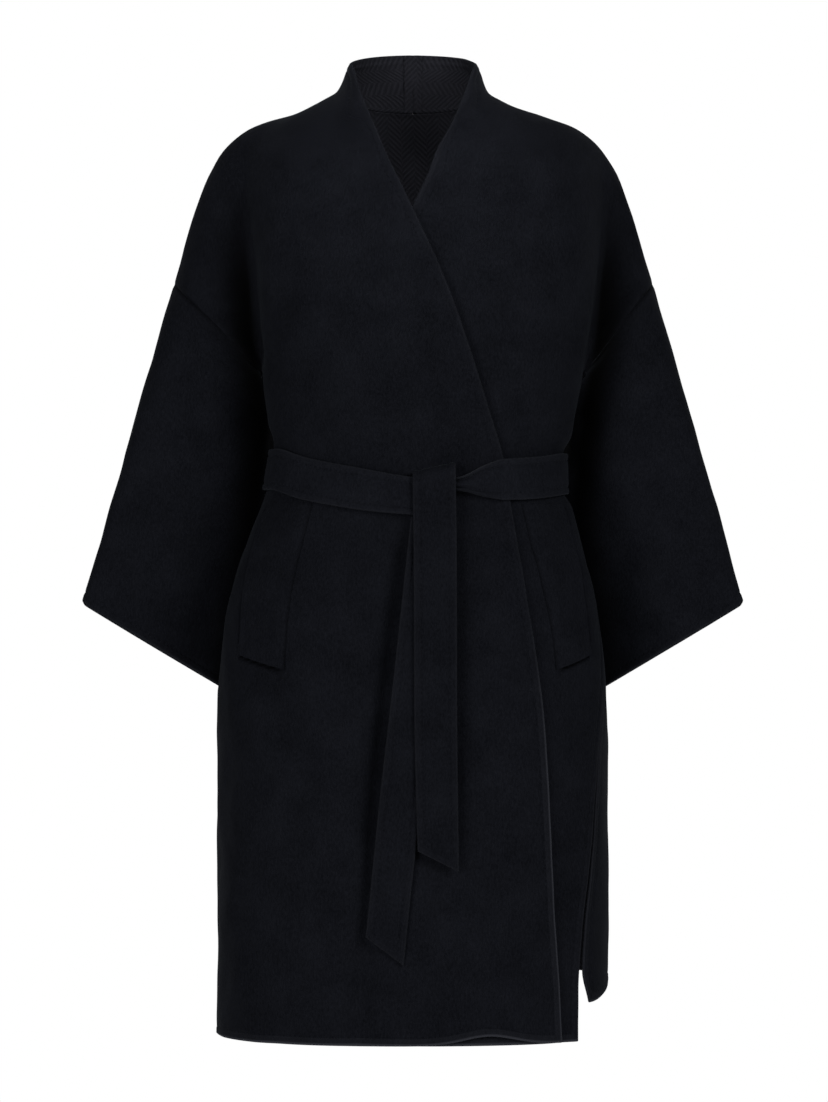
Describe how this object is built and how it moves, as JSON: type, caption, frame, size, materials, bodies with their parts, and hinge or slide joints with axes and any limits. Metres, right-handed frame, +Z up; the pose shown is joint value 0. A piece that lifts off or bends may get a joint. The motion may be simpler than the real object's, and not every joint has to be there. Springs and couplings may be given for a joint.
{
  "type": "wool wrap coat",
  "caption": "Hip-slit wool wrap coat in worn form, with a stand collar cut in one with the fronts, dropped-shoulder sleeves, slanting pocket welts and a tied belt.",
  "frame": {"origin": "between the wearer's shoulders, level with the foot of the collar", "axes": "+Z up, -Y to the wearer's front, +X to the wearer's left"},
  "size_m": [0.6652, 0.2662, 0.9812],
  "materials": {
    "wool": "brushed black double-faced wool",
    "belt_wool": "brushed black double-faced wool, doubled"
  },
  "bodies": {
    "root": {"back": "wool", "front_right": "wool", "front_left": "wool", "sleeve_right": "wool", "sleeve_left": "wool", "pocket_welt_right": "wool", "pocket_welt_left": "wool", "belt_band": "belt_wool", "belt_tail_over": "belt_wool", "belt_tail_under": "belt_wool"}
  },
  "joints": []
}
